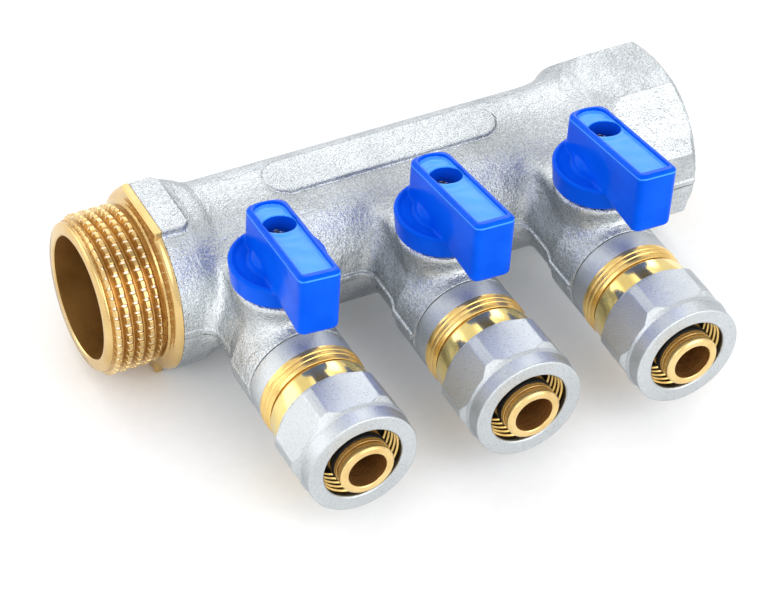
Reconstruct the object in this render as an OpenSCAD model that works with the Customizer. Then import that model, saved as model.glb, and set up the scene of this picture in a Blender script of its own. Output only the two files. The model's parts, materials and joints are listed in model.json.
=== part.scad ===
// Distribution manifold: a header tube with three outlets, each with a small ball valve and a
// compression end for plastic pipe.
// Origin: centre of the male end's face, on the header's axis. +X runs along the header to the
// female end, +Z is up along the valve stems, and the outlets point to -Y.

/* [Header] */
// Overall length of the header
header_len = 133.2; // [130:0.1:140]
// Outer radius of the header tube
tube_r = 16.4; // [16:0.1:17]
// Radius of the waterway
waterway_r = 12.8; // [11:0.1:13]
// Crest radius of the male thread
thread_r = 16.6; // [16:0.05:17]
// Length of the male thread
thread_len = 11.6; // [10:0.1:11.8]
// Radius of the collar behind the male thread
collar_r = 19.1; // [19:0.1:19.4]
// Width across the flats of the octagonal female end
octagon_af = 37.8; // [37.6:0.1:38.4]
// Wall radius of the female thread
female_r = 15.2; // [15:0.05:15.6]

/* [Outlets] */
// Distance between outlets
pitch = 36; // [34:0.5:50]
// Distance from the male end to the first outlet
first_x = 30.6; // [30:0.1:34]
// Radius of the outlet's outer wall
outlet_r = 10.9; // [10.7:0.1:11.2]
// Distance from the header's axis to the end of the branch casting
branch_end = 37.9; // [37.5:0.1:38.5]
// Distance from the header's axis to the front of the nut
nut_front = 65.2; // [65:0.1:66]
// Distance from the header's axis to the nozzle's tip
nozzle_tip = 67.15; // [66.5:0.05:68]
// Radius of the nozzle that the pipe goes over
nozzle_r = 5.7; // [5.5:0.05:5.8]
// Radius of the waterway through the outlet
outlet_bore_r = 4; // [3.5:0.1:4.2]

/* [Nut] */
// Width across the nut's flats
nut_af = 22.8; // [22.6:0.1:23.4]
// Radius to which the nut's corners are turned
nut_corner_r = 12.6; // [12.2:0.1:12.8]
// Radius of the pipe hole in the nut's face
nut_hole_r = 8.26; // [8.2:0.01:8.4]
// Turn of nut 2's flats from level
nut_turn_2 = 3; // [0:0.5:30]
// Turn of nut 3's flats from level
nut_turn_3 = 2; // [0:0.5:30]

/* [Valve] */
// Distance from the header's axis to the stem's axis
stem_y = 27.1; // [26.8:0.1:27.4]
// Radius of the ball
ball_r = 7; // [6.8:0.05:7.05]
// Height of the stem boss
boss_top = 15.6; // [15:0.1:16]

/* [Handle] */
// Radius of the round foot at its upper rim
foot_r = 9.8; // [9.4:0.1:10]
// Width of the lever
lever_w = 8.45; // [8:0.05:9]
// Length of the lever from the stem's axis
lever_len = 21.8; // [20:0.1:22]
// Height of the lever's top at the stem's axis
lever_top = 30.5; // [30:0.1:31]
// Angle at which the lever's top rises outward
lever_tilt = 11.3; // [5:0.1:12]
// Angle of lever 1 from fully open, as it stands at rest
lever_turn_1 = 5; // [0:0.5:10]
// Angle of lever 2 from fully open, as it stands at rest
lever_turn_2 = 2.5; // [0:0.5:10]
// Angle of lever 3 from fully open, as it stands at rest
lever_turn_3 = 2.5; // [0:0.5:10]

/* [Hidden] */
$fn = 96;

// shaft and thread play, on the radius
play = 0.05;
// gap left between faces that slide on each other
skim = 0.1;
count = 3;

// header, along X
octagon_r = octagon_af / 2 / cos(22.5);
relief_r = 15.1;
relief_end = 12.8;
collar_end = 20.7;
pad_half = 8.25;
pad_top = 18.6;
neck_start = 109.5;
octagon_start = 114;
octagon_full = 118.7;
chamfer_start = 131.6;
chamfer_r = 18.2;
female_start = 117;
land_from = 40.5;
land_to = 93.3;
land_half = 4.8;
land_top = 16.7;

// branch, measured from the header's axis
neck_r = 9.7;
chamber_r = 7.7;
chamber_start = 18.2;
socket_r = 8.95;
socket_start = 33;
boss_r = 8;
stem_hole_r = 3.55;
flange_pocket_r = 4.6;
flange_pocket_top = 9.2;
web_half = 6.5;
web_top = 12.5;

// lug on the boss that stops the handle
stop_inner = 5;
stop_outer = 7;
stop_h = 1.9;
stop_angle = 14;

// seats and ball
seat_depth = 4.4;
seat_gap = 0.1;
slot_w = 3.1;
slot_floor = 5;

// connector, measured from the header's axis
spigot_start = 33.5;
seat_pocket_end = 36.1;
ring_start = 42.85;
ring_end = 46.4;
ring_r = 11;
connector_thread_r = 9.95;
connector_face = 56;
o_ring_seats = [59.4, 63.2];
o_ring_w = 1.7;
o_ring_groove_r = 4.75;
o_ring_mid = 5.24;
o_ring_half = 0.455;
barb_start = 65.05;
barb_end = 65.45;
barb_r = 5.1;

// washer, olive and nut
washer_end = 57.3;
shoulder_r = 6.25;
olive_start = 57.4;
olive_end = 63.8;
olive_tooth = 1.2;
olive_teeth = 5;
olive_r = 9.3;
olive_bore_r = 8.2;
nut_back = 47;
nut_back_r = 10.75;
nut_cone_end = 52.1;
nut_flat_end = 61.3;
nut_collar_start = 61.8;
nut_collar_r = 11.5;

// stem
tang_w = 3;
tang_len = 6.5;
stem_flange_r = 4.3;
stem_flange_bottom = 7.4;
stem_flange_top = 8.7;
stem_shaft_top = 15.2;
stem_top = 24.1;
drive_r = 3;
drive_flat = 2.3;
stem_ring_heights = [11.1, 13.6];
stem_ring_w = 1.3;
stem_groove_r = 2.45;
screw_hole_r = 1.65;

// handle
foot_bottom = 16.3;
foot_top = 21.4;
foot_low_r = 9.26;
lever_back = 8.9;
lever_bottom = 20.5;
recess_depth = 0.6;
recess_half = 3.2;
head_floor = 25;
head_hole_r = 3.25;
head_r = 3;
head_h = 2.4;

lever_turn = [lever_turn_1, lever_turn_2, lever_turn_3];
nut_turn = [0, nut_turn_2, nut_turn_3];

function outlet_x(i) = first_x + pitch * (i - 1);

// a profile of [distance along +X, radius] points turned round the X axis
module turned_x(profile) {
    rotate([0, 90, 0]) rotate_extrude() polygon([for (p = profile) [p[1], p[0]]]);
}

// a profile of [distance from the header's axis, radius] points turned round outlet i
module turned_outlet(i, profile) {
    translate([outlet_x(i), 0, 0]) rotate([90, 0, 0]) rotate_extrude()
        polygon([for (p = profile) [p[1], p[0]]]);
}

module outlet_rod(i, r, from, to) {
    translate([outlet_x(i), -from, 0]) rotate([90, 0, 0]) cylinder(r = r, h = to - from);
}

// places children on the stem axis of outlet i
module at_stem(i) {
    translate([outlet_x(i), -stem_y, 0]) children();
}

// the same, turned with the lever's place at rest
module at_valve(i) {
    at_stem(i) rotate([0, 0, -lever_turn[i - 1]]) children();
}

module octagon_prism(from, to) {
    translate([from, 0, 0]) rotate([0, 90, 0]) rotate([0, 0, 22.5])
        cylinder(r = octagon_r, h = to - from, $fn = 8);
}

// collar with two flats, and the spanner pads above and below
module collar_shape() {
    intersection() {
        turned_x([
            [relief_end, 0], [relief_end, collar_r - 0.9], [relief_end + 0.9, collar_r],
            [collar_end, collar_r], [26, tube_r], [26, 0]
        ]);
        translate([0, -30, -pad_top]) cube([40, 60, 2 * pad_top]);
    }
    for (side = [-1, 1])
        translate([14.65, -pad_half, side > 0 ? 12 : -pad_top])
            cube([collar_end - 14.65, 2 * pad_half, pad_top - 12]);
}

module octagon_end() {
    intersection() {
        octagon_prism(octagon_start, header_len);
        turned_x([
            [octagon_start, 0], [octagon_start, octagon_af / 2 - 0.2],
            [octagon_full + 1.34, octagon_r + 0.5], [chamfer_start - 0.35, octagon_r + 0.5],
            [header_len, chamfer_r], [header_len, 0]
        ]);
    }
    turned_x([
        [neck_start - 2, 0], [neck_start - 2, tube_r], [neck_start, tube_r], [112, 17.2],
        [octagon_start + 0.5, octagon_af / 2 - 0.05], [octagon_start + 0.5, 0]
    ]);
}

module branch_shape(i) {
    turned_outlet(i, [
        [0, 0], [0, neck_r + 1], [19, neck_r + 1], [22, neck_r], [27, neck_r],
        [29.8, outlet_r], [branch_end, outlet_r], [branch_end, 0]
    ]);
    at_stem(i) cylinder(r = boss_r, h = boss_top);
    translate([outlet_x(i) - web_half, -stem_y, 0]) cube([2 * web_half, stem_y, web_top]);
    at_stem(i) stop_lug();
}

module stop_lug() {
    translate([0, 0, boss_top - 1]) rotate([0, 0, 128]) rotate_extrude(angle = stop_angle)
        translate([stop_inner, 0]) square([stop_outer - stop_inner, stop_h + 1]);
}

module branch_cavity(i) {
    outlet_rod(i, outlet_bore_r, 5, stem_y);
    outlet_rod(i, chamber_r, chamber_start, branch_end + 1);
    outlet_rod(i, socket_r, socket_start, branch_end + 1);
    at_stem(i) cylinder(r = stem_hole_r, h = boss_top + 1);
    at_stem(i) cylinder(r = flange_pocket_r, h = flange_pocket_top);
}

// flat obround land on top of the header
module marking_land() {
    for (end = [land_from + land_half, land_to - land_half])
        translate([end, 0, 10]) cylinder(r = land_half, h = land_top - 10);
    translate([land_from + land_half, -land_half, 10])
        cube([land_to - land_from - 2 * land_half, 2 * land_half, land_top - 10]);
}

module manifold_body() {
    color("lightsteelblue") difference() {
        union() {
            turned_x([[0, 0], [0, thread_r], [thread_len, thread_r], [thread_len, 0]]);
            turned_x([[1, 0], [1, relief_r], [relief_end + 1, relief_r], [relief_end + 1, 0]]);
            collar_shape();
            turned_x([[25, 0], [25, tube_r], [neck_start, tube_r], [neck_start, 0]]);
            octagon_end();
            marking_land();
            for (i = [1 : count]) branch_shape(i);
        }
        turned_x([[-1, 0], [-1, waterway_r], [female_start + 1, waterway_r], [female_start + 1, 0]]);
        turned_x([
            [female_start, 0], [female_start, female_r], [header_len - 1.6, female_r],
            [header_len + 0.1, female_r + 1.7], [header_len + 0.1, 0]
        ]);
        for (i = [1 : count]) branch_cavity(i);
    }
}

module valve_ball(i) {
    color("silver") at_valve(i) difference() {
        sphere(r = ball_r);
        rotate([90, 0, 0]) cylinder(r = outlet_bore_r, h = 3 * ball_r, center = true);
        translate([-ball_r, -slot_w / 2, slot_floor]) cube([2 * ball_r, slot_w, ball_r]);
    }
}

// ring between the ball and a flat shoulder, with a spherical face to the ball
module ball_seat(i, from, to) {
    color("white") difference() {
        turned_outlet(i, [
            [from, outlet_bore_r], [from, chamber_r - play],
            [to, chamber_r - play], [to, outlet_bore_r]
        ]);
        at_stem(i) sphere(r = ball_r + seat_gap);
    }
}

module inner_seat(i) {
    ball_seat(i, chamber_start, chamber_start + seat_depth);
}

module outer_seat(i) {
    ball_seat(i, seat_pocket_end - seat_depth, seat_pocket_end);
}

module stem_groove(z) {
    translate([0, 0, z - stem_ring_w / 2]) difference() {
        cylinder(r = 4, h = stem_ring_w);
        translate([0, 0, -1]) cylinder(r = stem_groove_r, h = stem_ring_w + 2);
    }
}

// tang, flange, grooved shaft and a drive end with two flats
module valve_stem(i) {
    color("goldenrod") at_valve(i) difference() {
        union() {
            intersection() {
                translate([-tang_len / 2, -tang_w / 2, slot_floor + skim])
                    cube([tang_len, tang_w, stem_flange_bottom - slot_floor]);
                cylinder(r = stem_flange_r, h = stem_flange_top);
            }
            translate([0, 0, stem_flange_bottom])
                cylinder(r = stem_flange_r, h = stem_flange_top - stem_flange_bottom);
            translate([0, 0, stem_flange_bottom])
                cylinder(r = stem_hole_r - play, h = stem_shaft_top - stem_flange_bottom);
            intersection() {
                cylinder(r = drive_r, h = stem_top);
                translate([-drive_r, -drive_flat, 10])
                    cube([2 * drive_r, 2 * drive_flat, stem_top]);
            }
        }
        for (z = stem_ring_heights) stem_groove(z);
        translate([0, 0, 16.5]) cylinder(r = screw_hole_r, h = 10);
    }
}

module stem_washer(i) {
    color("ivory") at_stem(i) translate([0, 0, stem_flange_top + play]) difference() {
        cylinder(r = flange_pocket_r - play, h = flange_pocket_top - stem_flange_top - 2 * play);
        translate([0, 0, -1]) cylinder(r = stem_hole_r, h = 3);
    }
}

module stem_o_rings(i) {
    color("black") at_stem(i) for (z = stem_ring_heights)
        translate([0, 0, z]) rotate_extrude() translate([2.98, 0]) circle(r = 0.5, $fn = 32);
}

// outline of the lever seen from the side, from the foot up to the sloping top
module lever_side() {
    rise = tan(lever_tilt);
    polygon([
        [lever_back, foot_top - 1], [lever_back, lever_top - lever_back * rise],
        [-lever_len, lever_top + lever_len * rise], [-lever_len, lever_bottom],
        [-lever_back, lever_bottom], [-lever_back + 1, foot_top - 1]
    ]);
}

module lever_block() {
    intersection() {
        translate([-lever_w / 2, 0, 0]) rotate([90, 0, 90]) linear_extrude(height = lever_w)
            lever_side();
        union() {
            cylinder(r = lever_back, h = 60);
            translate([-lever_w, -lever_len - 1, 0]) cube([2 * lever_w, lever_len + 1, 60]);
        }
    }
}

module lever_recess() {
    translate([0, 0, lever_top]) rotate([-lever_tilt, 0, 0]) translate([0, 0, -recess_depth])
        linear_extrude(height = 5) {
            translate([-recess_half, -lever_len + 1.9])
                square([2 * recess_half, lever_len + 2.6]);
            translate([0, 4.5]) circle(r = recess_half);
        }
}

// quarter-turn groove under the foot that runs over the stop lug
module stop_groove() {
    translate([0, 0, foot_bottom - 0.1]) rotate([0, 0, 123])
        rotate_extrude(angle = 90 + stop_angle + 10)
            translate([stop_inner - 0.4, 0]) square([stop_outer - stop_inner + 0.8, 2.2]);
}

module handle(i) {
    color("dodgerblue") at_valve(i) difference() {
        union() {
            rotate_extrude() polygon([
                [0, foot_bottom], [foot_low_r - 0.8, foot_bottom], [foot_low_r, foot_bottom + 0.8],
                [foot_r, foot_top - 0.5], [foot_r - 0.5, foot_top], [0, foot_top]
            ]);
            lever_block();
        }
        lever_recess();
        translate([0, 0, head_floor]) cylinder(r = head_hole_r, h = 20);
        translate([0, 0, head_floor - 2]) cylinder(r = 2.2, h = 4);
        intersection() {
            translate([0, 0, 10]) cylinder(r = drive_r + play, h = stem_top + play - 10);
            translate([-5, -drive_flat - play, 10])
                cube([10, 2 * (drive_flat + play), 20]);
        }
        translate([0, 0, 10]) cylinder(r = stem_hole_r + 0.2, h = 6.6);
        stop_groove();
    }
}

// pan head with a cross recess, and its shank in the stem
module handle_screw(i) {
    color("silver") at_valve(i) difference() {
        rotate_extrude() polygon([
            [0, 17.5], [screw_hole_r - play, 17.5], [screw_hole_r - play, head_floor],
            [head_r, head_floor], [head_r, head_floor + 1.4], [head_r - 0.6, head_floor + 2.1],
            [head_r - 1.4, head_floor + head_h], [0, head_floor + head_h]
        ]);
        for (turn = [0, 90]) rotate([0, 0, turn])
            translate([-1.7, -0.35, head_floor + 1.1]) cube([3.4, 0.7, 3]);
    }
}

// screwed spigot, collar, bare ring, thread for the nut and nozzle for the pipe
module outlet_connector(i) {
    color("gold") difference() {
        turned_outlet(i, [
            [spigot_start, 0], [spigot_start, socket_r - play],
            [branch_end + play, socket_r - play], [branch_end + play, outlet_r],
            [ring_start, outlet_r], [ring_start, ring_r], [44.5, ring_r], [44.8, ring_r - 0.4],
            [45.1, ring_r - 0.1], [ring_end - 0.5, ring_r - 0.4], [ring_end, ring_r - 0.9],
            [ring_end, connector_thread_r], [connector_face - 0.8, connector_thread_r],
            [connector_face, connector_thread_r - 0.8], [connector_face, shoulder_r],
            [washer_end, shoulder_r], [washer_end, nozzle_r],
            [nozzle_tip - 0.7, nozzle_r], [nozzle_tip, nozzle_r - 0.7], [nozzle_tip, 0]
        ]);
        outlet_rod(i, outlet_bore_r, spigot_start - 1, nozzle_tip + 1);
        outlet_rod(i, chamber_r, spigot_start - 1, seat_pocket_end);
        for (s = o_ring_seats) nozzle_groove(i, s - o_ring_w / 2, s + o_ring_w / 2, o_ring_groove_r);
        nozzle_groove(i, barb_start, barb_end, barb_r);
    }
}

module nozzle_groove(i, from, to, floor_r) {
    turned_outlet(i, [[from, floor_r], [from, nozzle_r + 1], [to, nozzle_r + 1], [to, floor_r]]);
}

module nozzle_o_rings(i) {
    color("black") translate([outlet_x(i), 0, 0]) rotate([90, 0, 0]) for (s = o_ring_seats)
        translate([0, 0, s]) rotate_extrude() translate([o_ring_mid, 0]) {
            for (side = [-1, 1]) translate([0, side * 0.35]) circle(r = o_ring_half, $fn = 32);
            translate([-o_ring_half, -0.35]) square([2 * o_ring_half, 0.7]);
        }
}

module insulating_washer(i) {
    color("black") turned_outlet(i, [
        [connector_face + play, shoulder_r + play], [connector_face + play, olive_r - 0.6],
        [washer_end, olive_r - 0.6], [washer_end, shoulder_r + play]
    ]);
}

// ring with internal teeth and one split
module split_olive(i) {
    color("gold") difference() {
        turned_outlet(i, concat(
            [
                [olive_start, olive_bore_r + 0.3], [olive_start, olive_r - 0.6],
                [olive_start + 0.8, olive_r], [olive_end - 2, olive_r],
                [olive_end, olive_r - 0.75]
            ],
            [
                for (k = [olive_teeth - 1 : -1 : 0], side = [1, 0])
                    [olive_start + 0.4 + (k + side * 0.75) * olive_tooth, olive_bore_r + 0.3 * side]
            ]
        ));
        translate([outlet_x(i) - 0.6, -olive_end - 1, -12])
            cube([1.2, olive_end - olive_start + 2, 12]);
    }
}

// hexagon with turned corners: chamfered back, front cone and a round front collar
module compression_nut(i) {
    color("lightsteelblue") difference() {
        intersection() {
            turned_outlet(i, [
                [nut_back, 0], [nut_back, nut_back_r], [nut_cone_end, nut_af / 2 - 0.05],
                [nut_cone_end + 0.8, nut_corner_r], [nut_flat_end - 1.3, nut_corner_r],
                [nut_collar_start, nut_collar_r], [nut_front - 0.6, nut_collar_r],
                [nut_front, nut_collar_r - 0.2], [nut_front, 0]
            ]);
            union() {
                translate([outlet_x(i), -nut_back, 0]) rotate([90, 0, 0])
                    rotate([0, 0, nut_turn[i - 1]])
                        cylinder(r = nut_af / 2 / cos(30), h = nut_flat_end - nut_back, $fn = 6);
                outlet_rod(i, nut_collar_r, nut_flat_end - 0.5, nut_front);
            }
        }
        turned_outlet(i, [
            [nut_back - 1, 0], [nut_back - 1, connector_thread_r + 0.05 + play],
            [olive_start - 0.2, connector_thread_r + 0.05 + play],
            [olive_start + 0.4, olive_r + 0.3], [olive_end - 1.5, olive_r + 0.3],
            [olive_end + 0.9, nut_hole_r], [nut_front + 1, nut_hole_r], [nut_front + 1, 0]
        ]);
    }
}

manifold_body();
valve_ball(1);  // valve_ball_1
valve_ball(2);  // valve_ball_2
valve_ball(3);  // valve_ball_3
inner_seat(1);  // inner_seat_1
inner_seat(2);  // inner_seat_2
inner_seat(3);  // inner_seat_3
outer_seat(1);  // outer_seat_1
outer_seat(2);  // outer_seat_2
outer_seat(3);  // outer_seat_3
valve_stem(1);  // valve_stem_1
valve_stem(2);  // valve_stem_2
valve_stem(3);  // valve_stem_3
stem_washer(1);  // stem_washer_1
stem_washer(2);  // stem_washer_2
stem_washer(3);  // stem_washer_3
stem_o_rings(1);  // stem_o_rings_1
stem_o_rings(2);  // stem_o_rings_2
stem_o_rings(3);  // stem_o_rings_3
handle(1);  // handle_1
handle(2);  // handle_2
handle(3);  // handle_3
handle_screw(1);  // handle_screw_1
handle_screw(2);  // handle_screw_2
handle_screw(3);  // handle_screw_3
outlet_connector(1);  // outlet_connector_1
outlet_connector(2);  // outlet_connector_2
outlet_connector(3);  // outlet_connector_3
nozzle_o_rings(1);  // nozzle_o_rings_1
nozzle_o_rings(2);  // nozzle_o_rings_2
nozzle_o_rings(3);  // nozzle_o_rings_3
insulating_washer(1);  // insulating_washer_1
insulating_washer(2);  // insulating_washer_2
insulating_washer(3);  // insulating_washer_3
split_olive(1);  // split_olive_1
split_olive(2);  // split_olive_2
split_olive(3);  // split_olive_3
compression_nut(1);  // compression_nut_1
compression_nut(2);  // compression_nut_2
compression_nut(3);  // compression_nut_3
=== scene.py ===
"""Looks for the underfloor heating manifold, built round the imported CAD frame.

Shapes are worked out in millimetres, in the frame's own axes: +X runs along the header from the
male to the female end, +Z is up along the valve stems and the outlets point to -Y.
The forging, the nuts, the levers and their screws are distance fields (negative inside) that skin()
turns into closed meshes. Threads, connectors, seals and olives are profiles that turned() spins.
"""

import json
import math

import bmesh
import bpy
import numpy as np
import openvdb
from mathutils import Matrix, Vector


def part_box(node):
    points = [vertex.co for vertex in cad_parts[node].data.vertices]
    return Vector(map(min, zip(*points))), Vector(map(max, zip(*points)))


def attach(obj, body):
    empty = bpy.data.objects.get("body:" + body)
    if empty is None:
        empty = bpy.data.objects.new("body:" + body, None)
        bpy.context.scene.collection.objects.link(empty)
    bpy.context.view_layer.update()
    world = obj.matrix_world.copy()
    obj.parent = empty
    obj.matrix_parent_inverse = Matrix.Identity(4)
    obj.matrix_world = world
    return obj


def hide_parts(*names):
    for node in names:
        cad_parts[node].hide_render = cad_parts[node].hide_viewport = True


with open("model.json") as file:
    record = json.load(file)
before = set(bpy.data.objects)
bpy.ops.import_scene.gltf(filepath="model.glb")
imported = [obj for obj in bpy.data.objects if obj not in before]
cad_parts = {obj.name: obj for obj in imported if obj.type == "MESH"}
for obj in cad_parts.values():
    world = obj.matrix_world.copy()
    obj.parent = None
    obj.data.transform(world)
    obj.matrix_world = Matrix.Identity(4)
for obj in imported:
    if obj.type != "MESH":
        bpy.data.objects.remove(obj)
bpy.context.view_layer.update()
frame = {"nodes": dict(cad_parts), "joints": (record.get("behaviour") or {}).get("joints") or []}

MM = 0.001
OUTLET_NUMBERS = (1, 2, 3)


def node_box(node):
    """Lowest and highest corner of a CAD node, in millimetres."""
    low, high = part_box(node)
    return np.array(low) / MM, np.array(high) / MM


# ---------------------------------------------------------------- driving places, from the frame
BODY_LOW, BODY_HIGH = node_box("manifold_body")
BALLS = {i: sum(node_box(f"valve_ball_{i}")) / 2 for i in OUTLET_NUMBERS}
OUTLET_X = {i: float(BALLS[i][0]) for i in OUTLET_NUMBERS}
STEM_Y = -float(BALLS[1][1])
HEADER_LEN = float(BODY_HIGH[0])
NUT_LOW, NUT_HIGH = node_box("compression_nut_1")
NUT_BACK = -float(NUT_HIGH[1])
NUT_FRONT = -float(NUT_LOW[1])
NOZZLE_TIP = -float(node_box("outlet_connector_1")[0][1])
RANGES = {joint["name"]: joint.get("range_deg") for joint in frame["joints"]}
LEVER_TURN = {i: -RANGES[f"valve_turn_{i}"][0] for i in OUTLET_NUMBERS}
NUT_TURN = {1: 0, 2: 3, 3: 2}

# header, distances along X
TUBE_R = 16.4
BORE_R = 12.8
SLEEVE_R = 13.4
COLLAR_R = 19.1
COLLAR_FACE = 12.8
COLLAR_PLATED = 14.65
COLLAR_END = 20.7
PAD_HALF = 8.25
PAD_TOP = 18.6
OCTAGON_HALF = 18.9
OCTAGON_CORNER = OCTAGON_HALF / math.cos(math.radians(22.5))
OCTAGON_START = 114.0
OCTAGON_FULL = 118.7
CHAMFER_START = HEADER_LEN - 1.6
CHAMFER_R = 18.2
FEMALE_START = 117.0
FEMALE_R = 15.15
FEMALE_ROOT_R = 16.62
FEMALE_BED_R = 17.2
LAND_MIDDLE = 66.9
LAND_REACH = 26.4
LAND_HALF = 4.8
LAND_TOP = 16.68

# branches, distances from the header's axis
BRANCH_R = 9.7
OUTLET_R = 10.9
BRANCH_END = 37.9
COLLAR_NICKEL_END = 42.85
RING_END = 46.4
SEAM = 0.3
WAY_R = 4.0
NOZZLE_R = 5.7
SEALS = (59.4, 63.2)
SEAL_W = 1.7
SEAL_FLOOR = 4.75
BARB = (65.05, 65.45, 5.1)
OLIVE_START, OLIVE_END = (-float(c[1]) for c in reversed(node_box("split_olive_1")))
OLIVE_TEETH = 5
OLIVE_PITCH = 1.2
OLIVE_R = 9.3
OLIVE_RIDGE_R = 8.2
OLIVE_GAP_R = 8.5
BOSS_TOP = 15.6
FLASH = 0.55
FLASH_HALF = 0.7

# threads
G1_PITCH = 25.4 / 11
G1_CREST = 16.6
G1_ROOT = 15.15
NOTCHES = 49


# ---------------------------------------------------------------- distance fields
def soft_min(a, b, k):
    """Union of two fields with a fillet of about 0.85 k."""
    h = np.maximum(k - np.abs(a - b), 0) / k
    return np.minimum(a, b) - h * h * (k / 4)


def soft_max(a, b, k):
    """Intersection of two fields with a rounded edge."""
    return -soft_min(-a, -b, k)


def spun(s, r, stations):
    """Field of a body of revolution: stations are (distance along the axis, radius)."""
    places = np.array([p[0] for p in stations], np.float32)
    radii = np.array([p[1] for p in stations], np.float32)
    step = np.float32(0.25)
    here = np.interp(s, places, radii).astype(np.float32)
    slope = (np.interp(s + step, places, radii) - np.interp(s - step, places, radii)) / (2 * step)
    return (r - here) / np.sqrt(1 + slope.astype(np.float32) ** 2)


def slab(value, low, high):
    """Field of the space between two parallel planes."""
    return np.maximum(low - value, value - high)


def rounded_box(x, y, z, half, radius):
    """Box about the origin with rounded edges; half gives its three half sizes."""
    q = [np.abs(v) - (h - radius) for v, h in zip((x, y, z), half)]
    outside = np.sqrt(sum(np.maximum(v, 0) ** 2 for v in q))
    inside = np.minimum(np.maximum(np.maximum(q[0], q[1]), q[2]), 0)
    return outside + inside - radius


def gradient(field, points, step):
    """Central differences of a field at points."""
    out = np.empty_like(points)
    for axis in range(3):
        shift = np.zeros(3)
        shift[axis] = step
        ahead = field(*(points + shift).T.astype(np.float32))
        behind = field(*(points - shift).T.astype(np.float32))
        out[:, axis] = (ahead - behind) / (2 * step)
    return out


def skin(field, low, high, cell, slabs=24):
    """Mesh of a field's zero surface: (points in mm, faces, normals)."""
    axes = [np.arange(a - 2 * cell, b + 3 * cell, cell, dtype=np.float32) for a, b in zip(low, high)]
    values = np.empty([len(a) for a in axes], np.float32)
    for start in range(0, len(axes[0]), slabs):
        x, y, z = np.meshgrid(axes[0][start:start + slabs], axes[1], axes[2], indexing="ij")
        values[start:start + slabs] = field(x, y, z)
    reach = 3 * cell
    grid = openvdb.FloatGrid(background=reach)
    grid.copyFromArray(np.clip(values, -reach, reach))
    points, triangles, quads = grid.convertToPolygons(isovalue=0.0, adaptivity=0.0)
    points = points.astype(np.float64) * cell + np.array([a[0] for a in axes])
    for _ in range(3):
        away = field(*points.T.astype(np.float32)).astype(np.float64)
        slope = gradient(field, points, 0.03)
        size = np.maximum((slope ** 2).sum(axis=1), 0.3)
        move = np.clip(away / size, -0.4 * cell, 0.4 * cell)
        points -= move[:, None] * slope
    faces = quads.tolist() + triangles.tolist()
    slope = gradient(field, points, 0.04)
    normals = slope / np.maximum(np.linalg.norm(slope, axis=1), 1e-6)[:, None]
    return points, faces, normals


def mesh_object(name, points, faces, normals=None, sharp=None):
    """Object from points in mm. Shading follows the given normals, or is smooth below the sharp angle."""
    mesh = bpy.data.meshes.new(name)
    mesh.from_pydata((np.asarray(points) * MM).tolist(), [], faces)
    mesh.validate()
    mesh.polygons.foreach_set("use_smooth", [True] * len(mesh.polygons))
    if normals is not None:
        mesh.normals_split_custom_set_from_vertices(np.asarray(normals).tolist())
    obj = bpy.data.objects.new(name, mesh)
    bpy.context.scene.collection.objects.link(obj)
    if sharp is not None:
        mesh.set_sharp_from_angle(angle=math.radians(sharp))
    return obj


def rotated(vectors, axis, degrees):
    """Points or normals turned about a coordinate axis through the origin."""
    turn = Matrix.Rotation(math.radians(degrees), 3, axis)
    return np.asarray(vectors) @ np.array(turn).T


def paint(obj, material, chosen):
    """Gives a second material to the faces whose centre, in mm, chosen() picks."""
    obj.data.materials.append(material)
    for face in obj.data.polygons:
        if chosen(*(face.center / MM)):
            face.material_index = len(obj.data.materials) - 1


# ---------------------------------------------------------------- turned shapes
def eased(profile, radius, steps=3):
    """Closed profile of (along, radius) points with its corners cut round."""
    out = []
    n = len(profile)
    for k in range(n):
        before, here, after = (np.array(profile[(k + j) % n], float) for j in (-1, 0, 1))
        a, b = before - here, after - here
        la, lb = np.linalg.norm(a), np.linalg.norm(b)
        cut = min(radius, 0.45 * la, 0.45 * lb)
        start, end = here + a / la * cut, here + b / lb * cut
        for t in np.linspace(0, 1, steps + 1):
            out.append(tuple((1 - t) ** 2 * start + 2 * t * (1 - t) * here + t ** 2 * end))
    return out


def turned(name, profile, steps=160, sharp=32, shape=None):
    """Closed ring spun round the X axis; profile runs (along, radius). shape may move the points."""
    profile = np.array(profile, float)
    angles = np.linspace(0, 2 * math.pi, steps, endpoint=False)
    along = np.broadcast_to(profile[:, 0], (steps, len(profile))).copy()
    radius = np.broadcast_to(profile[:, 1], (steps, len(profile))).copy()
    if shape:
        radius = shape(angles[:, None], along, radius)
    points = np.stack([along, radius * np.cos(angles)[:, None], radius * np.sin(angles)[:, None]], axis=2)
    n = len(profile)
    faces = []
    for i in range(steps):
        j = (i + 1) % steps
        for k in range(n):
            m = (k + 1) % n
            faces.append((i * n + k, i * n + m, j * n + m, j * n + k))
    following = np.roll(profile, -1, axis=0)
    area = (profile[:, 0] * following[:, 1] - following[:, 0] * profile[:, 1]).sum()
    if area < 0:
        faces = [f[::-1] for f in faces]
    return mesh_object(name, points.reshape(-1, 3), faces, sharp=sharp)


def to_outlet(obj, i):
    """Turns a piece spun round X so that it lies along outlet i, with its distances from the header."""
    place = Matrix.Translation((OUTLET_X[i] * MM, 0, 0)) @ Matrix.Rotation(-math.pi / 2, 4, "Z")
    obj.data.transform(place)
    return obj


# ---------------------------------------------------------------- materials
RING_STRETCH = 0.004
COOL = (0.92, 0.97, 1.0)
EDGE_TINT = (0.55, 0.57, 0.60, 1.0)
AQUA = (0.2, 0.8, 1.0, 1.0)


def new_material(name):
    """Empty node material with one Principled shader: (material, tree, shader)."""
    material = bpy.data.materials.new(name)
    material.use_nodes = True
    tree = material.node_tree
    tree.nodes.clear()
    out = tree.nodes.new("ShaderNodeOutputMaterial")
    shader = tree.nodes.new("ShaderNodeBsdfPrincipled")
    tree.links.new(shader.outputs["BSDF"], out.inputs["Surface"])
    return material, tree, shader


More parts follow.
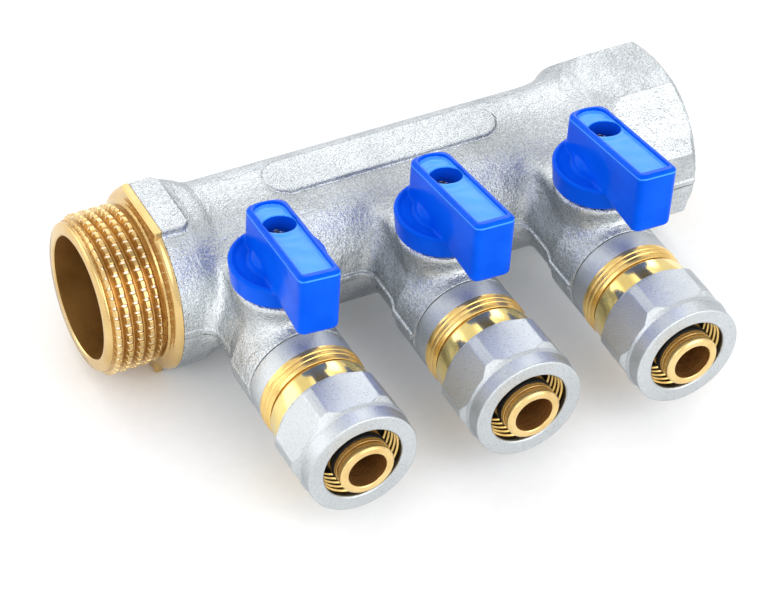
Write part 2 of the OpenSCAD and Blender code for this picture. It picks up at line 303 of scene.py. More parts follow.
def node(tree, kind, inputs=None, **settings):
    """Adds a node; inputs holds values, or sockets to link from."""
    made = tree.nodes.new(kind)
    for key, value in settings.items():
        setattr(made, key, value)
    for key, value in (inputs or {}).items():
        if isinstance(value, bpy.types.NodeSocket):
            tree.links.new(value, made.inputs[key])
        else:
            made.inputs[key].default_value = value
    return made


def object_place(tree):
    return node(tree, "ShaderNodeTexCoord").outputs["Object"]


def noise(tree, place, scale, detail=3.0, roughness=0.5, stretch=None):
    """Noise in object space; scale is in features per millimetre."""
    if stretch:
        place = node(tree, "ShaderNodeMapping", {"Vector": place, "Scale": stretch}).outputs["Vector"]
    made = node(tree, "ShaderNodeTexNoise", {
        "Vector": place, "Scale": scale / MM, "Detail": detail, "Roughness": roughness})
    return made.outputs["Fac"]


def ramp(tree, factor, stops):
    """Colour ramp; stops are (position, colour or grey)."""
    made = node(tree, "ShaderNodeValToRGB", {"Fac": factor})
    elements = made.color_ramp.elements
    while len(elements) < len(stops):
        elements.new(0.5)
    for element, (position, colour) in zip(elements, stops):
        element.position = position
        element.color = (*colour, 1) if isinstance(colour, tuple) else (colour, colour, colour, 1)
    return made.outputs["Color"]


def tint(tree, colour, shade):
    """Multiplies a colour by a shade that varies over the surface."""
    made = node(tree, "ShaderNodeMix", data_type="RGBA", blend_type="MULTIPLY")
    made.inputs["Factor"].default_value = 1.0
    tree.links.new(colour, made.inputs[6])
    tree.links.new(shade, made.inputs[7])
    return made.outputs[2]


def bump(tree, height, strength, distance, below=None):
    """Normal bent by a height; distance is in millimetres and below is an earlier normal."""
    inputs = {"Height": height, "Strength": strength, "Distance": distance * MM}
    if below is not None:
        inputs["Normal"] = below
    return node(tree, "ShaderNodeBump", inputs).outputs["Normal"]


def nickel_plate(name, shade, grain_scale, waves, relief, fleck, rough):
    """Nickel plate over a blasted surface: fine grain, small dark pits and slow shade changes."""
    material, tree, shader = new_material(name)
    place = object_place(tree)
    slow = noise(tree, place, 0.06, 3)
    grain = noise(tree, place, grain_scale, 3, 0.65)
    pits = noise(tree, place, grain_scale * 0.7, 3, 0.7)
    dents = noise(tree, place, 0.3, 3, 0.55)
    darker, lighter = (tuple(level * share for share in COOL) for level in shade)
    plate = ramp(tree, slow, [(0.32, darker), (0.68, lighter)])
    specks = ramp(tree, grain, [(0.36, fleck), (0.54, 1.0)])
    holes = ramp(tree, pits, [(0.27, 0.35), (0.35, 1.0)])
    tree.links.new(tint(tree, tint(tree, plate, specks), holes), shader.inputs["Base Color"])
    tree.links.new(ramp(tree, grain, [(0.3, rough[0]), (0.7, rough[1])]), shader.inputs["Roughness"])
    normal = bump(tree, dents, waves, 0.5)
    normal = bump(tree, pits, 1.0, relief, normal)
    tree.links.new(bump(tree, grain, 1.0, relief, normal), shader.inputs["Normal"])
    shader.inputs["Metallic"].default_value = 0.86
    shader.inputs["Specular Tint"].default_value = EDGE_TINT
    return material


def turned_brass(name, along, light, dark, rough, lines, strength=0.1, metallic=0.86):
    """Turned brass: fine tool rings across the axis `along` (0 for X, 1 for Y) and slow tarnish."""
    material, tree, shader = new_material(name)
    place = object_place(tree)
    stretch = [RING_STRETCH] * 3
    stretch[along] = 1.0
    rings = noise(tree, place, lines, 2, 0.6, stretch)
    tarnish = noise(tree, place, 0.12, 4, 0.6)
    tree.links.new(ramp(tree, tarnish, [(0.3, dark), (0.62, light)]), shader.inputs["Base Color"])
    tree.links.new(ramp(tree, rings, [(0.3, rough[0]), (0.7, rough[1])]), shader.inputs["Roughness"])
    tree.links.new(bump(tree, rings, strength, 0.02), shader.inputs["Normal"])
    shader.inputs["Metallic"].default_value = metallic
    return material


def blue_nylon(name, low, high):
    """Glossy moulded plastic with faint flow marks."""
    material, tree, shader = new_material(name)
    place = object_place(tree)
    flow = noise(tree, place, 0.16, 2, 0.5, (1.0, 0.5, 1.0))
    skin_noise = noise(tree, place, 1.2, 2)
    tree.links.new(ramp(tree, flow, [(0.35, low), (0.65, high)]), shader.inputs["Base Color"])
    tree.links.new(ramp(tree, skin_noise, [(0.3, 0.14), (0.7, 0.20)]), shader.inputs["Roughness"])
    tree.links.new(bump(tree, flow, 0.4, 0.6), shader.inputs["Normal"])
    shader.inputs["Specular IOR Level"].default_value = 0.07
    shader.inputs["Specular Tint"].default_value = AQUA
    return material


def simple_finish(name, low, high, rough, metallic, scale, strength=0.2, specular=0.5):
    """Two shades and a fine bump, for the small and hidden pieces."""
    material, tree, shader = new_material(name)
    place = object_place(tree)
    shade = noise(tree, place, scale, 3)
    fine = noise(tree, place, scale * 6, 2)
    tree.links.new(ramp(tree, shade, [(0.3, low), (0.7, high)]), shader.inputs["Base Color"])
    tree.links.new(ramp(tree, fine, [(0.3, rough[0]), (0.7, rough[1])]), shader.inputs["Roughness"])
    tree.links.new(bump(tree, fine, strength, 0.02), shader.inputs["Normal"])
    shader.inputs["Metallic"].default_value = metallic
    shader.inputs["Specular IOR Level"].default_value = specular
    return material


NICKEL = nickel_plate("blasted_nickel", (0.58, 0.75), 2.4, 1.0, 0.14, 0.74, (0.18, 0.30))
SATIN = nickel_plate("satin_nickel", (0.60, 0.68), 3.4, 0.1, 0.08, 0.84, (0.26, 0.37))
BRASS_X = turned_brass(
    "turned_brass_header", 0, (0.72, 0.52, 0.23), (0.60, 0.39, 0.14),
    (0.16, 0.26), 5.0, 0.1)
NOZZLE = turned_brass(
    "satin_brass_nozzle", 1, (0.84, 0.62, 0.28), (0.68, 0.46, 0.17),
    (0.2, 0.32), 7.0, 0.12)
# painted shade: darker brass for the thread's valleys and relief groove, standing in for the shade that
# falls there
ROOT = turned_brass(
    "thread_root_painted_shade", 0, (0.56, 0.34, 0.12), (0.44, 0.25, 0.07),
    (0.2, 0.3), 5.0, 0.1)
# painted glint: near-white brass on the notch floors stands in for the light the notches catch
NOTCH_GLINT = turned_brass(
    "notch_painted_glint", 0, (1.0, 0.97, 0.88), (1.0, 0.94, 0.80),
    (0.3, 0.4), 5.0, 0.1, 0.3)
BRASS_Y = turned_brass(
    "turned_brass_outlet", 1, (0.86, 0.61, 0.22), (0.76, 0.48, 0.14),
    (0.18, 0.28), 7.0, 0.1)
SKIRT = turned_brass(
    "polished_brass_skirt", 1, (0.88, 0.70, 0.27), (0.80, 0.59, 0.19),
    (0.10, 0.16), 9.0, 0.03)
# painted shade: near-black brass for the gaps between the olive's ridges
SHADE = turned_brass(
    "olive_gap_painted_shade", 1, (0.07, 0.045, 0.018), (0.04, 0.025, 0.01),
    (0.4, 0.5), 7.0, 0.1, 0.5)
# painted shade: darker, browner brass inside the header's bore and the outlet ways, standing in for the
# shade inside them
BORE_SHADE_X = turned_brass(
    "bored_brass_header_painted_shade", 0, (0.52, 0.29, 0.085), (0.34, 0.18, 0.045),
    (0.34, 0.46), 3.0, 0.1)
BORE_SHADE_Y = turned_brass(
    "bored_brass_outlet_painted_shade", 1, (0.62, 0.34, 0.11), (0.45, 0.23, 0.07),
    (0.22, 0.36), 6.0, 0.15)
BLUE = blue_nylon("blue_nylon", (0.0, 0.075, 0.66), (0.002, 0.095, 0.74))
# painted highlight: lighter blue on the recess floor stands in for the bright light it reflects
RECESS_HIGHLIGHT = blue_nylon("blue_nylon_recess_painted_highlight", (0.055, 0.29, 0.90), (0.07, 0.33, 0.97))
CHROME = simple_finish(
    "chromed_ball", (0.66, 0.67, 0.69), (0.76, 0.77, 0.79),
    (0.06, 0.12), 1.0, 0.3, 0.05)
PTFE = simple_finish("white_ptfe", (0.80, 0.80, 0.77), (0.90, 0.90, 0.87), (0.45, 0.6), 0.0, 0.5)
RUBBER = simple_finish(
    "black_rubber", (0.006, 0.006, 0.007), (0.016, 0.016, 0.018),
    (0.4, 0.55), 0.0, 0.8, 0.2, 0.2)
ZINC = simple_finish("zinc_plate", (0.34, 0.34, 0.33), (0.58, 0.58, 0.57), (0.16, 0.28), 1.0, 0.8)


def finish_piece(obj, material, body, slot, *nodes):
    """Gives a piece its material and body and hides the CAD nodes that it stands for; slot is not used."""
    obj.data.materials.clear()
    obj.data.materials.append(material)
    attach(obj, body)
    if nodes:
        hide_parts(*nodes)
    return obj


# ---------------------------------------------------------------- the forging
def header_field(x, y, z, rho):
    """Header tube with its collar, spanner pads, neck and octagon."""
    tube = spun(x, rho, [
        (12, COLLAR_R), (20.3, COLLAR_R), (21.2, 18.95), (22.9, 18.4), (24.9, 17.6), (26.4, 16.8),
        (28.5, TUBE_R), (105.5, TUBE_R), (108, 16.55), (110.3, 16.9), (111.6, 17.35), (112.8, 18.1),
        (113.9, 18.6), (116, 18.7), (140, 18.7)])
    falling = PAD_TOP - 0.25 - 0.35 * np.clip(x - COLLAR_END + 0.6, 0, 2.5)
    tube = soft_max(tube, np.abs(z) - falling, 0.8)
    pads = rounded_box(x - (COLLAR_END + 8) / 2, y, z, ((COLLAR_END - 8) / 2, PAD_HALF, PAD_TOP), 0.2)
    trim = soft_max(x + 0.9 * np.abs(y) - (COLLAR_END + 0.9 * (PAD_HALF - 1.3)), pads, 0.3)
    octagon = np.maximum(np.abs(y), np.abs(z))
    octagon = np.maximum(octagon, (np.abs(y) + np.abs(z)) * math.sqrt(0.5)) - OCTAGON_HALF
    ends = spun(x, rho, [
        (OCTAGON_START - 1, 18.3), (OCTAGON_FULL + 1.3, OCTAGON_CORNER + 0.5),
        (CHAMFER_START - 0.35, OCTAGON_CORNER + 0.5), (HEADER_LEN, CHAMFER_R), (HEADER_LEN + 4, 12.5)])
    octagon = soft_max(octagon, ends, 0.35)
    octagon = soft_max(octagon, OCTAGON_START - 0.5 - x, 1.0)
    land_x = np.maximum(np.abs(x - LAND_MIDDLE) - (LAND_REACH - LAND_HALF), 0)
    land = np.sqrt(land_x ** 2 + y ** 2) - LAND_HALF
    land = np.maximum(soft_max(land, z - LAND_TOP, 0.2), 10 - z)
    whole = soft_min(soft_min(tube, trim, 0.5), octagon, 0.8)
    return soft_min(whole, land, 0.2)


def outlet_field(x, y, z, at):
    """One branch with its stem boss and the web behind the boss."""
    u = x - at
    s = -y
    branch = spun(s, np.sqrt(u ** 2 + z ** 2), [
        (0, BRANCH_R), (26.6, BRANCH_R), (28.2, 10.2), (29.8, OUTLET_R), (BRANCH_END + 5, OUTLET_R)])
    branch = np.maximum(soft_max(branch, s - BRANCH_END, 0.25), -4 - s)
    boss = spun(z, np.sqrt(u ** 2 + (y + STEM_Y) ** 2), [
        (-5, 7.4), (8, 7.6), (9.4, 7.9), (12.2, 8.35), (14.4, 8.75), (20, 8.75)])
    boss = np.maximum(soft_max(boss, z - BOSS_TOP, 1.2), -z)
    web = rounded_box(u, y + STEM_Y / 2, z - 4.5, (6.2, STEM_Y / 2, 7.4), 1.5)
    return soft_min(soft_min(branch, boss, 3.0), web, 3.0)


def forging_outside(x, y, z):
    """Header and branches blended together, with the flash along the parting line."""
    rho = np.sqrt(y ** 2 + z ** 2)
    body = header_field(x, y, z, rho)
    for i in OUTLET_NUMBERS:
        body = soft_min(body, outlet_field(x, y, z, OUTLET_X[i]), 3.4)
    proud = FLASH * np.clip((x - 20) / 2, 0.25, 1) * np.clip((OCTAGON_START + 3 - x) / 3, 0.3, 1)
    flash = soft_max(body - proud, np.abs(z) - FLASH_HALF, 0.12)
    flash = np.maximum(flash, -y - BRANCH_END + 0.3)
    return soft_min(body, flash, 0.2)


def forging(x, y, z):
    """The plated forging with its bores, cut off where the machined brass begins."""
    rho = np.sqrt(y ** 2 + z ** 2)
    body = forging_outside(x, y, z)
    body = np.maximum(body, slab(x, COLLAR_PLATED, HEADER_LEN))
    bore = spun(x, rho, [
        (FEMALE_START - 0.2, SLEEVE_R), (FEMALE_START, FEMALE_BED_R), (200, FEMALE_BED_R)])
    body = np.maximum(body, -bore)
    for i in OUTLET_NUMBERS:
        u = x - OUTLET_X[i]
        across = np.sqrt(u ** 2 + z ** 2)
        way = spun(-y, across, [(17.9, 4.0), (18.3, 7.75), (32.8, 7.75), (33.1, 9.0), (60, 9.0)])
        way = np.maximum(way, 8 + y)
        stem = np.sqrt(u ** 2 + (y + STEM_Y) ** 2)
        hole = spun(z, stem, [(9.1, 4.65), (9.3, 3.6), (40, 3.6)])
        hole = np.maximum(hole, -z)
        body = np.maximum(body, -np.minimum(way, hole))
    return body


def make_forging():
    """Mesh of the plated forging."""
    cell = 0.36
    points, faces, normals = skin(
        forging, (COLLAR_PLATED, -BRANCH_END, -20), (HEADER_LEN, 20.2, 20), cell)
    obj = mesh_object("forged_body", points, faces, normals)
    return finish_piece(obj, NICKEL, "manifold", "nickel", "manifold_body")


# ---------------------------------------------------------------- brass at the male end
def thread_wave(turns):
    """Height of a thread with a round root, from 0 in the root to 1 on its flat crest."""
    away = np.abs((turns + 0.5) % 1.0 - 0.5) * 2
    return (1 - np.clip((away - 0.34) / 0.62, 0, 1)) ** 1.8


def male_thread():
    """Header bore and male G1 thread, with the notches rolled across its crests."""
    first = 2.0
    start, end = 1.1, 11.9

    def helix(angle, along, radius):
        outer = (along > start) & (along < end) & (radius > 14)
        turns = (along - first) / G1_PITCH - (angle - math.pi) / (2 * math.pi)
        wave = thread_wave(turns)
        notch = np.abs((angle * NOTCHES / (2 * math.pi)) % 1.0 - 0.5)
        cut = np.clip((0.16 - notch) / 0.06, 0, 1) * np.clip((wave - 0.35) / 0.4, 0, 1)
        fade = np.clip((along - start) / 0.9, 0, 1) * np.clip((end - along) / 0.9, 0, 1)
        height = (G1_CREST - G1_ROOT) * wave * fade - 0.4 * cut * fade
        return np.where(outer, G1_ROOT + height, radius)

    outside = [(start, 15.3)] + [(x, G1_ROOT) for x in np.arange(start + 0.1, end, 0.1)]
    lip = [(0, BORE_R + 0.25), (0, 14.75), (0.12, 14.9), (0.3, 15.35), (0.5, 15.5), (0.9, 15.5)]
    back = [(end, G1_ROOT), (COLLAR_FACE + 1.2, G1_ROOT), (COLLAR_FACE + 1.2, SLEEVE_R),
            (FEMALE_START, SLEEVE_R), (FEMALE_START, BORE_R), (0.25, BORE_R)]
    steps = NOTCHES * 20
    return turned("male_thread", lip + outside + back, steps, 40, helix)


def in_notch(x, y, z):
    """Whether a point of the male thread lies on the floor of a rolled notch, where a glint is painted."""
    rho = math.hypot(y, z)
    if not 1.6 < x < 11.4 or not G1_ROOT + 0.8 < rho < G1_CREST:
        return False
    place = math.atan2(z, y) * NOTCHES / (2 * math.pi) % 1.0
    return abs(place - 0.52) < 0.1


def collar_face(x, y, z):
    """Machined front of the collar: bare brass, cut in rings."""
    rho = np.sqrt(y ** 2 + z ** 2)
    disc = np.maximum(rho - COLLAR_R, np.abs(z) - PAD_TOP)
    pad = np.maximum(np.abs(y) - PAD_HALF, np.abs(z) - PAD_TOP)
    front = spun(rho, -x, [
        (15.2, -12.3), (16.3, -12.35), (16.5, -12.75), (17.4, -13.0), (30, -13.05)])
    body = np.minimum(soft_max(disc, front, 2.4), soft_max(pad, front, 0.5))
    body = np.maximum(body, x - COLLAR_PLATED)
    return np.maximum(body, 15.0 - rho)


def make_male_end():
    """Bare brass of the male end: thread, bore and collar face."""
    thread = finish_piece(male_thread(), BRASS_X, "manifold", "brass")
    # painted shade inside the header's bore
    paint(thread, BORE_SHADE_X, lambda x, y, z: x > 0.3 and math.hypot(y, z) < SLEEVE_R - 0.2)
    # painted shade in the thread's valleys and relief groove
    paint(thread, ROOT, lambda x, y, z: 1.2 < x < 13 and SLEEVE_R < math.hypot(y, z) < G1_ROOT + 0.6)
    # painted glint on the notch floors
    paint(thread, NOTCH_GLINT, in_notch)
    points, faces, normals = skin(collar_face, (12, -20, -19.5), (COLLAR_PLATED, 20, 19.5), 0.22)
    finish_piece(mesh_object("machined_collar_face", points, faces, normals), BRASS_X, "manifold", "brass")


def make_female_end():
    """Bare brass end face and female G1 thread."""
    start, end = FEMALE_START + 1.6, HEADER_LEN - 1.4

    def helix(angle, along, radius):
        inner = (along > start) & (along < end) & (radius < 16.5)
        wave = thread_wave((along - start) / G1_PITCH - angle / (2 * math.pi))
        fade = np.clip((along - start) / 0.8, 0, 1) * np.clip((end - along) / 0.8, 0, 1)
        return np.where(inner, FEMALE_R + (FEMALE_ROOT_R - FEMALE_R) * (1 - wave * fade), radius)

    inside = [(x, FEMALE_R) for x in np.arange(end, start, -0.12)]
    rim = [(FEMALE_START, SLEEVE_R), (FEMALE_START, FEMALE_BED_R), (HEADER_LEN - 0.05, FEMALE_BED_R),
           (HEADER_LEN, FEMALE_BED_R - 0.1), (HEADER_LEN, FEMALE_BED_R - 0.25), (end, FEMALE_ROOT_R)]
    foot = [(start, FEMALE_ROOT_R), (start, SLEEVE_R)]
    obj = turned("female_thread", rim + inside + foot, 320, 40, helix)
    return finish_piece(obj, BRASS_X, "manifold", "brass")


# ---------------------------------------------------------------- outlets
def make_outlet(i):
    """Plated collar, bare ring, thread and nozzle of the outlet's screwed connector."""
    collar = eased([(BRANCH_END + SEAM, 9.3), (BRANCH_END + SEAM, OUTLET_R),
                    (COLLAR_NICKEL_END, OUTLET_R), (COLLAR_NICKEL_END, 9.3)], 0.12)
    obj = to_outlet(turned(f"connector_collar_{i}", collar), i)
    finish_piece(obj, SATIN, "manifold", "nickel")
    grooves = []
    for start, end, floor in [(at - SEAL_W / 2, at + SEAL_W / 2, SEAL_FLOOR) for at in SEALS] + [BARB]:
        grooves += [(start, NOZZLE_R), (start, floor), (end, floor), (end, NOZZLE_R)]
    ring = eased([
        (33.5, 7.7), (33.5, 8.9), (38.5, 8.9), (38.5, 9.4), (COLLAR_NICKEL_END, 9.4),
        (COLLAR_NICKEL_END, 11.0), (43.9, 11.0), (44.15, 10.75), (44.35, 10.75), (44.6, 10.95),
        (45.1, 10.95), (45.3, 10.72), (45.5, 10.72), (45.7, 10.8), (RING_END, 10.45), (RING_END, 9.95),
        (55.2, 9.95), (56, 9.15), (56, 6.25), (57.3, 6.25), (57.3, NOZZLE_R)] + grooves + [
        (NOZZLE_TIP - 0.4, NOZZLE_R), (NOZZLE_TIP, NOZZLE_R - 0.35), (NOZZLE_TIP, WAY_R + 0.2),
        (NOZZLE_TIP - 0.2, WAY_R), (36.1, WAY_R), (36.1, 7.7)], 0.1)
    obj = to_outlet(turned(f"outlet_connector_turned_{i}", ring), i)
    finish_piece(obj, BRASS_Y, "manifold", "brass", f"outlet_connector_{i}")
    # painted shade inside the outlet's way
    paint(obj, BORE_SHADE_Y, lambda x, y, z: math.hypot(x - OUTLET_X[i], z) < WAY_R + 0.05)
    paint(obj, NOZZLE, lambda x, y, z: -y > 57 and math.hypot(x - OUTLET_X[i], z) > WAY_R + 0.05)


def make_nozzle_seals(i):
    """Two O-rings in the nozzle's grooves, each with a rounded section; they are one piece of mesh."""
    half = SEAL_W / 2 - 0.05
    floor, top = SEAL_FLOOR + 0.05, NOZZLE_R + 0.17
    rings = []
    for name, at in zip((f"nozzle_seals_{i}", "spare_seal"), SEALS):
        corners = [(at - half, floor), (at + half, floor), (at + half, top), (at - half, top)]
        section = eased(corners, 0.5, 5)
        rings.append(to_outlet(turned(name, section, 120, 60), i))
    whole, spare = rings
    merged = bmesh.new()
    merged.from_mesh(whole.data)
    merged.from_mesh(spare.data)
    merged.to_mesh(whole.data)
    merged.free()
    bpy.data.objects.remove(spare)
    return finish_piece(whole, RUBBER, "manifold", "black_rubber", f"nozzle_o_rings_{i}")


def make_olive(i):
    """Split olive with its internal ridges."""
    teeth = []
    for k in range(OLIVE_TEETH - 1, -1, -1):
        at = OLIVE_START + 0.4 + OLIVE_PITCH * k
        teeth += [(at + 0.95, OLIVE_GAP_R), (at + 0.6, OLIVE_GAP_R), (at + 0.4, OLIVE_RIDGE_R),
                  (at, OLIVE_RIDGE_R), (at - 0.04, OLIVE_GAP_R)]
    outside = [(OLIVE_START, OLIVE_GAP_R), (OLIVE_START, 8.7), (OLIVE_START + 0.8, OLIVE_R),
               (OLIVE_END - 2, OLIVE_R), (OLIVE_END, OLIVE_R - 0.75)]
    obj = to_outlet(turned(f"ridged_olive_{i}", outside + teeth, 120, 25), i)
    finish_piece(obj, BRASS_Y, f"olive_{i}", "brass", f"split_olive_{i}")
    # painted shade in the gaps between the olive's ridges
    paint(obj, SHADE, lambda x, y, z: abs(math.hypot(x - OUTLET_X[i], z) - OLIVE_GAP_R) < 0.1)


# ---------------------------------------------------------------- compression nut
NUT_HALF = 11.4
NUT_CORNER = 12.6


def nut_field(x, y, z):
    """Plated hexagon with turned corners, front cone and round collar, on its own axis."""
    s = -y
    r = np.sqrt(x ** 2 + z ** 2)
    flats = np.maximum(np.abs(z), np.abs(x) * math.sqrt(0.75) + np.abs(z) * 0.5) - NUT_HALF
    turned_off = spun(s, r, [
        (40, NUT_CORNER), (60.1, NUT_CORNER), (61.1, 11.85), (61.9, 11.5), (80, 11.5)])
    body = soft_min(soft_max(flats, s - 62.0, 0.3), 61.1 - s, 0.1)
    body = soft_max(body, turned_off, 0.12)
    body = soft_max(body, s - NUT_FRONT, 0.4)
    back = spun(s, r, [(52.0, 11.42), (52.85, NUT_CORNER), (53.6, 13.0), (90, 13.0)])
    body = np.maximum(np.maximum(body, back), 51.6 - s)
    hole = spun(s, r, [
        (0, 10.05), (57.2, 10.05), (57.8, 9.6), (OLIVE_END - 1.5, 9.6), (OLIVE_END + 0.9, 8.26),
        (NUT_FRONT - 0.25, 8.26), (NUT_FRONT + 1, 9.5)])
    return np.maximum(body, -hole)


def make_nuts():
    """Plated hexagons, each at its own angle, and their bare brass back cones."""
    cell = 0.16
    reach = NUT_CORNER + 0.1
    points, faces, normals = skin(nut_field, (-reach, -NUT_FRONT, -reach), (reach, -51.6, reach), cell)
    cone = eased([
        (NUT_BACK, 10.05), (NUT_BACK, 10.55), (NUT_BACK + 0.25, 10.8), (52.05, 11.36), (52.05, 10.05)], 0.1)
    for i in OUTLET_NUMBERS:
        shifted = rotated(points, "Y", -NUT_TURN[i]) + np.array([OUTLET_X[i], 0, 0])
        obj = mesh_object(f"nut_hexagon_{i}", shifted, faces, rotated(normals, "Y", -NUT_TURN[i]))
        finish_piece(obj, SATIN, f"nut_{i}", "nickel", f"compression_nut_{i}")
        obj = to_outlet(turned(f"nut_bare_skirt_{i}", cone), i)
        finish_piece(obj, SKIRT, f"nut_{i}", "brass")


# ---------------------------------------------------------------- lever handle
LEVER_HALF = 4.225
LEVER_LEN = 21.8
LEVER_BACK = 8.9
LEVER_RISE = math.tan(math.radians(11.3))
LEVER_TOP = 30.5
LEVER_HOLE_R = 3.25
SCREW_SEAT = 25.0
RECESS_DEPTH = 0.75


def handle_field(x, y, z):
    """Handle about its stem at the origin, lever towards -Y."""
    r = np.sqrt(x ** 2 + y ** 2)
    foot = spun(z, r, [(15, 9.15), (16.3, 9.26), (21.4, 9.82), (24, 9.9)])
    foot = soft_max(foot, z - 21.4, 0.7)
    foot = soft_max(foot, 16.3 - z, 0.5)
    dish = soft_max(r - 8.7, 20.3 + 0.01 * r * r - z, 0.8)
    foot = soft_max(foot, -dish, 0.5)
    top = (z - LEVER_TOP + LEVER_RISE * y) / math.sqrt(1 + LEVER_RISE ** 2)
    sides = np.abs(x) - LEVER_HALF
    back = np.where(y > 0, r, np.abs(x)) - LEVER_BACK
    lever = soft_max(sides, -y - LEVER_LEN, 1.6)
    lever = soft_max(lever, back, 1.5)
    lever = soft_max(lever, top, 0.9)
    lever = soft_max(lever, 20.4 - z, 1.2)
    hub = soft_max(r - 5.5, z - 22.3, 1.6)
    hub = np.maximum(hub, 17 - z)
    body = soft_min(soft_min(foot, lever, 0.6), hub, 0.9)
    hollow = soft_max(np.abs(x) - LEVER_HALF + 1.5, slab(y, 1.5 - LEVER_LEN, -10.2), 0.6)
    hollow = soft_max(hollow, top + 2.0, 0.6)
    body = soft_max(body, -hollow, 0.3)
    pocket = np.abs(x) - 3.15
    pocket = soft_max(pocket, np.where(y > 0, np.sqrt(x ** 2 + (y * 0.62) ** 2), np.abs(x)) - 4.9, 0.8)
    pocket = soft_max(pocket, -y - 19.9, 0.6)
    past_hole = r - LEVER_HOLE_R
    ripple = 0.07 * np.sin(2.6 * past_hole) * np.exp(-np.maximum(past_hole, 0) / 2.4)
    ripple = ripple + 0.03 * np.sin(1.1 * y + 1.2 * np.sin(0.8 * x))
    pocket = soft_max(pocket, -top - RECESS_DEPTH + ripple, 0.25)
    body = soft_max(body, -pocket, 0.25)
    hole = np.maximum(r - LEVER_HOLE_R, SCREW_SEAT - z)
    body = soft_max(body, -hole, 0.3)
    under = np.maximum(r - 3.8, z - 16.9)
    drive = np.maximum(np.maximum(r - 3.05, np.abs(y) - 2.35), z - 24.15)
    shank = np.maximum(r - 2.2, z - 26)
    return np.maximum(body, -np.minimum(np.minimum(under, drive), shank))


def in_recess(x, y, z):
    """Whether a point, measured from the stem, lies on the floor of the lever's recess."""
    floor = LEVER_TOP - LEVER_RISE * y - RECESS_DEPTH / math.cos(math.atan(LEVER_RISE))
    return abs(z - floor) < 0.15


def screw_field(x, y, z):
    """Pan head with a cross recess, standing on z = 0, and its shank below."""
    r = np.sqrt(x ** 2 + y ** 2)
    dome = np.sqrt(r ** 2 + (z + 1.4) ** 2) - 3.75
    head = soft_max(np.maximum(r - 3.0, -z), dome, 0.25)
    bar_a = np.maximum(np.abs(x) - 0.38, np.abs(y) - 1.75)
    bar_b = np.maximum(np.abs(y) - 0.38, np.abs(x) - 1.75)
    cross = soft_min(bar_a, bar_b, 0.3) + np.maximum(0.9 - z, 0) * 0.4
    head = soft_max(head, -np.maximum(cross, 0.8 - z), 0.1)
    shank = np.maximum(np.maximum(r - 1.58, z), -7.5 - z)
    return np.minimum(head, shank)


def make_handles():
    """Levers at their rest angles, with the screws that hold them."""
    cell = 0.17
    low, high = (-10, -LEVER_LEN, 16.3), (10, 9.9, 35)
    points, faces, normals = skin(handle_field, low, high, cell)
    screw_points, screw_faces, screw_normals = skin(screw_field, (-3, -3, -7.5), (3, 3, 2.4), 0.12)
    for i in OUTLET_NUMBERS:
        stem = np.array([OUTLET_X[i], -STEM_Y, 0])
        turn = -LEVER_TURN[i]
        obj = mesh_object(f"lever_handle_{i}", rotated(points, "Z", turn) + stem, faces,
                          rotated(normals, "Z", turn))
        finish_piece(obj, BLUE, f"valve_{i}", "blue_plastic", f"handle_{i}")
        # painted highlight on the recess floor
        paint(obj, RECESS_HIGHLIGHT, lambda x, y, z: in_recess(x - stem[0], y - stem[1], z))
        seat = stem + np.array([0, 0, SCREW_SEAT])
        obj = mesh_object(f"cross_head_screw_{i}", rotated(screw_points, "Z", turn) + seat, screw_faces,
                          rotated(screw_normals, "Z", turn))
        finish_piece(obj, ZINC, f"valve_{i}", "zinc_screw", f"handle_screw_{i}")


# ---------------------------------------------------------------- carried-over CAD pieces
CARRIED = {
    "valve_ball": CHROME, "inner_seat": PTFE, "outer_seat": PTFE, "valve_stem": BRASS_Y,
    "stem_washer": PTFE, "stem_o_rings": RUBBER, "insulating_washer": RUBBER,
}


def dress_carried_nodes():
    """Materials for the hidden valve pieces, which stay as CAD made them."""
    for kind, material in CARRIED.items():
        for i in OUTLET_NUMBERS:
            obj = frame["nodes"][f"{kind}_{i}"]
            obj.data.materials.clear()
            obj.data.materials.append(material)


# ---------------------------------------------------------------- studio
# light tent: its even radiance, and soft-edged patches as (direction, inner angle, outer angle,
# change of radiance); the last patch is a darker one
FLOOR_REACH = 3000
TENT_LEVEL = 0.95
TENT = [
    ((0.40, 0.84, 0.37), 9, 14, 3.0),
    ((-0.70, 0.70, 0.14), 14, 26, 1.7),
    ((0.10, 0.62, 0.78), 8, 24, 1.0),
    ((0.373, -0.78, 0.50), 14, 34, 2.4),
    ((-0.75, -0.35, 0.55), 10, 24, 2.2),
    ((0.37, -0.20, 0.90), 6, 22, -0.45),
]


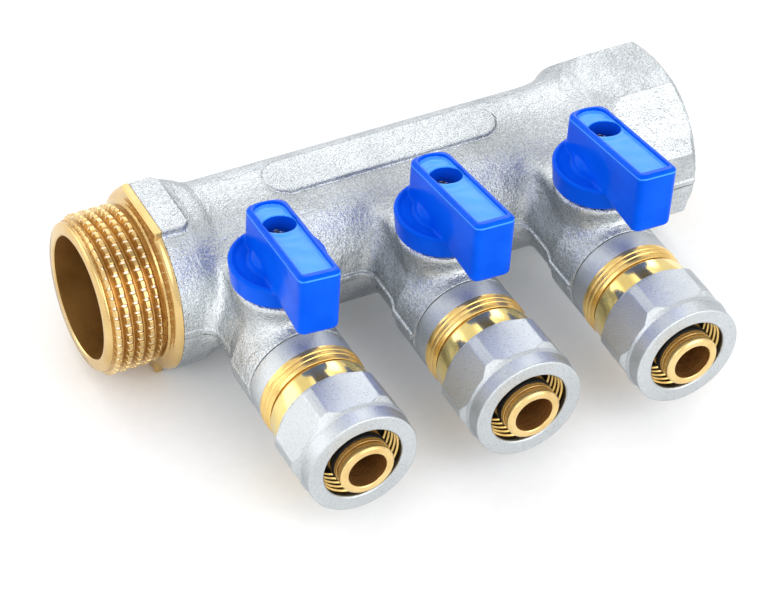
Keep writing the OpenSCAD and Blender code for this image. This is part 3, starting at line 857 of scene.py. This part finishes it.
def make_floor():
    """Wide pale sheet just under the lowest point of the header."""
    height = BODY_LOW[2] - 0.1
    corners = ((-1, -1), (1, -1), (1, 1), (-1, 1))
    points = [(x * FLOOR_REACH, y * FLOOR_REACH, height) for x, y in corners]
    obj = mesh_object("floor", points, [(0, 1, 2, 3)])
    material, tree, shader = new_material("floor_paper")
    fine = noise(tree, object_place(tree), 0.5, 2)
    tree.links.new(ramp(tree, fine, [(0.3, 0.92), (0.7, 0.94)]), shader.inputs["Base Color"])
    shader.inputs["Roughness"].default_value = 0.9
    shader.inputs["Specular IOR Level"].default_value = 0.1
    obj.data.materials.append(material)


def make_studio():
    """White light tent with brighter and darker patches for the metal to reflect."""
    world = bpy.data.worlds.new("tent")
    bpy.context.scene.world = world
    world.use_nodes = True
    tree = world.node_tree
    look = node(tree, "ShaderNodeTexCoord").outputs["Generated"]
    level = None
    for towards, inner, outer, change in TENT:
        spot = node(tree, "ShaderNodeVectorMath", {0: look, 1: Vector(towards).normalized()},
                    operation="DOT_PRODUCT")
        share = node(tree, "ShaderNodeMapRange", {
            "Value": spot.outputs["Value"], "From Min": math.cos(math.radians(outer)),
            "From Max": math.cos(math.radians(inner)), "To Min": 0.0, "To Max": change},
            interpolation_type="SMOOTHSTEP").outputs["Result"]
        level = node(tree, "ShaderNodeMath", {0: share, 1: TENT_LEVEL if level is None else level},
                     operation="ADD").outputs["Value"]
    tree.links.new(level, tree.nodes["Background"].inputs["Strength"])
    tree.nodes["Background"].inputs["Color"].default_value = (1, 1, 1, 1)
    bpy.context.scene.view_settings.view_transform = "Standard"


def make_camera():
    """Camera at the object's left front, looking down at it through a long lens."""
    data = bpy.data.cameras.new("camera")
    data.sensor_width = 36
    data.lens = 132.42
    data.clip_start = 0.01
    data.clip_end = 20
    obj = bpy.data.objects.new("camera", data)
    right = Vector((0.88635, -0.46035, 0.04958))
    up = Vector((0.27392, 0.60768, 0.74545))
    back = right.cross(up).normalized()
    up = back.cross(right).normalized()
    turn = Matrix((right.normalized(), up, back)).transposed().to_4x4()
    obj.matrix_world = Matrix.Translation(Vector((-157.97, -397.83, 382.93)) * MM) @ turn
    bpy.context.scene.collection.objects.link(obj)
    bpy.context.scene.camera = obj


make_camera()
make_floor()
make_studio()
make_forging()
make_male_end()
make_female_end()
for number in OUTLET_NUMBERS:
    make_outlet(number)
    make_nozzle_seals(number)
    make_olive(number)
make_nuts()
make_handles()
dress_carried_nodes()
